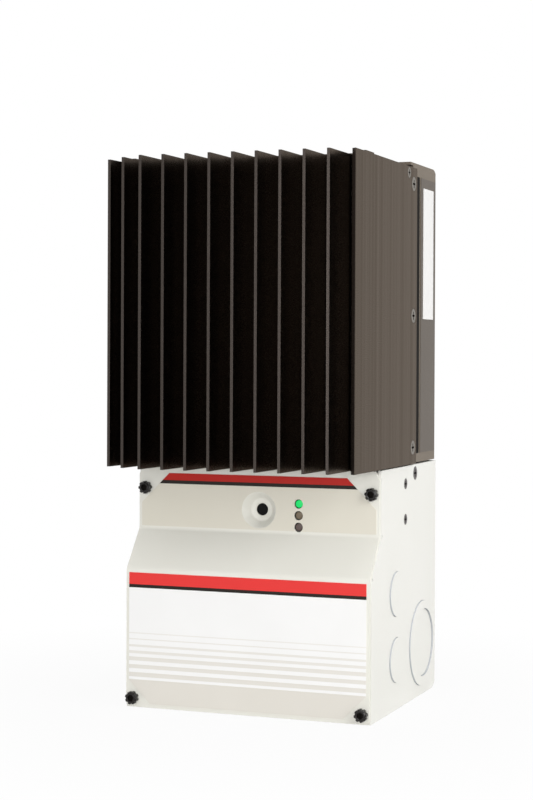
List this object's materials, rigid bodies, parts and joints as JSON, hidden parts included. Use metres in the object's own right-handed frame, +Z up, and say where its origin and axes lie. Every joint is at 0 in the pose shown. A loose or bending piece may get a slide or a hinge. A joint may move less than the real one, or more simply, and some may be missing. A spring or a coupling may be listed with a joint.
{
  "type": "charge controller",
  "caption": "Wall-mounted charge controller: a finned heat sink over a white wiring box with a stepped cover, push button and status lamps.",
  "frame": {"origin": "under the middle of the object, on the plane of the wiring box's floor", "axes": "+X to the right seen from the front, +Y to the wall behind, +Z up"},
  "size_m": [0.13, 0.145, 0.272],
  "materials": {
    "sink_aluminium": "brown-grey anodised, satin",
    "dark_panel": "brown-grey paint, satin",
    "white_panel": "white powder paint, satin",
    "dark_label": "printed film, matt",
    "white_label": "white film, matt",
    "upper_film": "printed film, satin",
    "lower_film": "printed film, satin",
    "black_steel": "black oxide",
    "zinc_steel": "zinc plated",
    "black_plastic": "moulded, matt",
    "circuit_board": "solder mask, satin",
    "copper": "bare copper",
    "brass": "bare brass",
    "lamp_green": "clear lens, lit",
    "lamp_off": "diffusing lens, unlit",
    "switch_blue": "moulded, matt",
    "lever_white": "moulded, matt",
    "terminal_green": "moulded, matt",
    "ferrite": "coated core",
    "seal_rubber": "foam strip"
  },
  "bodies": {
    "chassis": {"heat_sink": "sink_aluminium", "end_plate": "sink_aluminium", "rear_chassis": "dark_panel", "heat_sink_screws": "zinc_steel", "seam_gaskets": "seal_rubber", "side_label": "dark_label", "serial_sticker": "white_label", "wiring_box": "white_panel", "wiring_box_screws": "zinc_steel", "small_knockouts": "white_panel", "large_knockouts": "white_panel", "cover_nuts": "zinc_steel", "control_board": "circuit_board", "board_standoffs": "brass", "reset_switch": "black_plastic", "green_lamp": "lamp_green", "yellow_lamp": "lamp_off", "red_lamp": "lamp_off", "setting_switch": "switch_blue", "meter_jack": "black_plastic", "serial_port": "zinc_steel", "signal_terminal": "terminal_green", "power_terminal": "black_plastic", "terminal_bracket": "zinc_steel", "bus_bars": "copper", "power_board": "circuit_board", "power_transistors": "black_plastic", "inductor_cores": "ferrite", "inductor_windings": "copper", "capacitors": "black_plastic", "ground_lug": "brass"},
    "cover": {"box_cover": "white_panel", "upper_overlay": "upper_film", "lower_overlay": "lower_film"},
    "cover_screw_top_left": {"cover_screw_top_left": "black_steel"},
    "cover_screw_top_right": {"cover_screw_top_right": "black_steel"},
    "cover_screw_bottom_left": {"cover_screw_bottom_left": "black_steel"},
    "cover_screw_bottom_right": {"cover_screw_bottom_right": "black_steel"},
    "reset_button": {"reset_button": "black_plastic"},
    "setting_lever_1": {"setting_lever_1": "lever_white"},
    "setting_lever_2": {"setting_lever_2": "lever_white"},
    "setting_lever_3": {"setting_lever_3": "lever_white"},
    "setting_lever_4": {"setting_lever_4": "lever_white"},
    "setting_lever_5": {"setting_lever_5": "lever_white"},
    "setting_lever_6": {"setting_lever_6": "lever_white"},
    "setting_lever_7": {"setting_lever_7": "lever_white"},
    "setting_lever_8": {"setting_lever_8": "lever_white"},
    "power_screw_1": {"power_screw_1": "zinc_steel"},
    "power_clamp_1": {"power_clamp_1": "zinc_steel"},
    "power_screw_2": {"power_screw_2": "zinc_steel"},
    "power_clamp_2": {"power_clamp_2": "zinc_steel"},
    "power_screw_3": {"power_screw_3": "zinc_steel"},
    "power_clamp_3": {"power_clamp_3": "zinc_steel"},
    "power_screw_4": {"power_screw_4": "zinc_steel"},
    "power_clamp_4": {"power_clamp_4": "zinc_steel"},
    "signal_screw_1": {"signal_screw_1": "zinc_steel"},
    "signal_screw_2": {"signal_screw_2": "zinc_steel"},
    "signal_screw_3": {"signal_screw_3": "zinc_steel"},
    "signal_screw_4": {"signal_screw_4": "zinc_steel"},
    "ground_screw": {"ground_screw": "zinc_steel"}
  },
  "joints": [
    {"name": "cover_lift_off", "type": "slide", "parent": "chassis", "child": "cover", "axis": [0, -1, 0], "range_m": [0, 0.06]},
    {"name": "cover_screw_top_left_turn", "type": "hinge", "parent": "cover", "child": "cover_screw_top_left", "pos_m": [-0.0595, -0.0251, 0.1079], "axis": [0, 1, 0], "continuous": true},
    {"name": "cover_screw_top_right_turn", "type": "hinge", "parent": "cover", "child": "cover_screw_top_right", "pos_m": [0.0595, -0.0251, 0.1079], "axis": [0, 1, 0], "continuous": true},
    {"name": "cover_screw_bottom_left_turn", "type": "hinge", "parent": "cover", "child": "cover_screw_bottom_left", "pos_m": [-0.0595, -0.0398, 0.0049], "axis": [0, 1, 0], "continuous": true},
    {"name": "cover_screw_bottom_right_turn", "type": "hinge", "parent": "cover", "child": "cover_screw_bottom_right", "pos_m": [0.0595, -0.0398, 0.0049], "axis": [0, 1, 0], "continuous": true},
    {"name": "reset_press", "type": "slide", "parent": "chassis", "child": "reset_button", "axis": [0, 1, 0], "range_m": [0, 0.001], "stiffness_N_per_m": 500, "springref_m": -0.001},
    {"name": "setting_lever_1_slide", "type": "slide", "parent": "chassis", "child": "setting_lever_1", "axis": [0, 0, 1], "range_m": [0, 0.002]},
    {"name": "setting_lever_2_slide", "type": "slide", "parent": "chassis", "child": "setting_lever_2", "axis": [0, 0, 1], "range_m": [0, 0.002]},
    {"name": "setting_lever_3_slide", "type": "slide", "parent": "chassis", "child": "setting_lever_3", "axis": [0, 0, 1], "range_m": [0, 0.002]},
    {"name": "setting_lever_4_slide", "type": "slide", "parent": "chassis", "child": "setting_lever_4", "axis": [0, 0, 1], "range_m": [0, 0.002]},
    {"name": "setting_lever_5_slide", "type": "slide", "parent": "chassis", "child": "setting_lever_5", "axis": [0, 0, 1], "range_m": [0, 0.002]},
    {"name": "setting_lever_6_slide", "type": "slide", "parent": "chassis", "child": "setting_lever_6", "axis": [0, 0, 1], "range_m": [0, 0.002]},
    {"name": "setting_lever_7_slide", "type": "slide", "parent": "chassis", "child": "setting_lever_7", "axis": [0, 0, 1], "range_m": [0, 0.002]},
    {"name": "setting_lever_8_slide", "type": "slide", "parent": "chassis", "child": "setting_lever_8", "axis": [0, 0, 1], "range_m": [0, 0.002]},
    {"name": "power_screw_1_turn", "type": "hinge", "parent": "chassis", "child": "power_screw_1", "pos_m": [-0.03, 0.004, 0.066], "axis": [0, 1, 0], "range_deg": [0, 1800]},
    {"name": "power_clamp_1_slide", "type": "slide", "parent": "chassis", "child": "power_clamp_1", "axis": [0, -1, 0], "range_m": [0, 0.005]},
    {"name": "power_screw_2_turn", "type": "hinge", "parent": "chassis", "child": "power_screw_2", "pos_m": [-0.01, 0.004, 0.066], "axis": [0, 1, 0], "range_deg": [0, 1800]},
    {"name": "power_clamp_2_slide", "type": "slide", "parent": "chassis", "child": "power_clamp_2", "axis": [0, -1, 0], "range_m": [0, 0.005]},
    {"name": "power_screw_3_turn", "type": "hinge", "parent": "chassis", "child": "power_screw_3", "pos_m": [0.01, 0.004, 0.066], "axis": [0, 1, 0], "range_deg": [0, 1800]},
    {"name": "power_clamp_3_slide", "type": "slide", "parent": "chassis", "child": "power_clamp_3", "axis": [0, -1, 0], "range_m": [0, 0.005]},
    {"name": "power_screw_4_turn", "type": "hinge", "parent": "chassis", "child": "power_screw_4", "pos_m": [0.03, 0.004, 0.066], "axis": [0, 1, 0], "range_deg": [0, 1800]},
    {"name": "power_clamp_4_slide", "type": "slide", "parent": "chassis", "child": "power_clamp_4", "axis": [0, -1, 0], "range_m": [0, 0.005]},
    {"name": "signal_screw_1_turn", "type": "hinge", "parent": "chassis", "child": "signal_screw_1", "pos_m": [-0.05162, -0.0182, 0.083], "axis": [0, 1, 0], "continuous": true},
    {"name": "signal_screw_2_turn", "type": "hinge", "parent": "chassis", "child": "signal_screw_2", "pos_m": [-0.04654, -0.0182, 0.083], "axis": [0, 1, 0], "continuous": true},
    {"name": "signal_screw_3_turn", "type": "hinge", "parent": "chassis", "child": "signal_screw_3", "pos_m": [-0.04146, -0.0182, 0.083], "axis": [0, 1, 0], "continuous": true},
    {"name": "signal_screw_4_turn", "type": "hinge", "parent": "chassis", "child": "signal_screw_4", "pos_m": [-0.03638, -0.0182, 0.083], "axis": [0, 1, 0], "continuous": true},
    {"name": "ground_screw_turn", "type": "hinge", "parent": "chassis", "child": "ground_screw", "pos_m": [-0.05, 0.0558, 0.022], "axis": [0, 1, 0], "continuous": true}
  ],
  "couplings": [
    {"joint": "power_screw_1_turn", "follows": "power_clamp_1_slide", "rad_per_m": 6283.2},
    {"joint": "power_screw_2_turn", "follows": "power_clamp_2_slide", "rad_per_m": 6283.2},
    {"joint": "power_screw_3_turn", "follows": "power_clamp_3_slide", "rad_per_m": 6283.2},
    {"joint": "power_screw_4_turn", "follows": "power_clamp_4_slide", "rad_per_m": 6283.2}
  ]
}
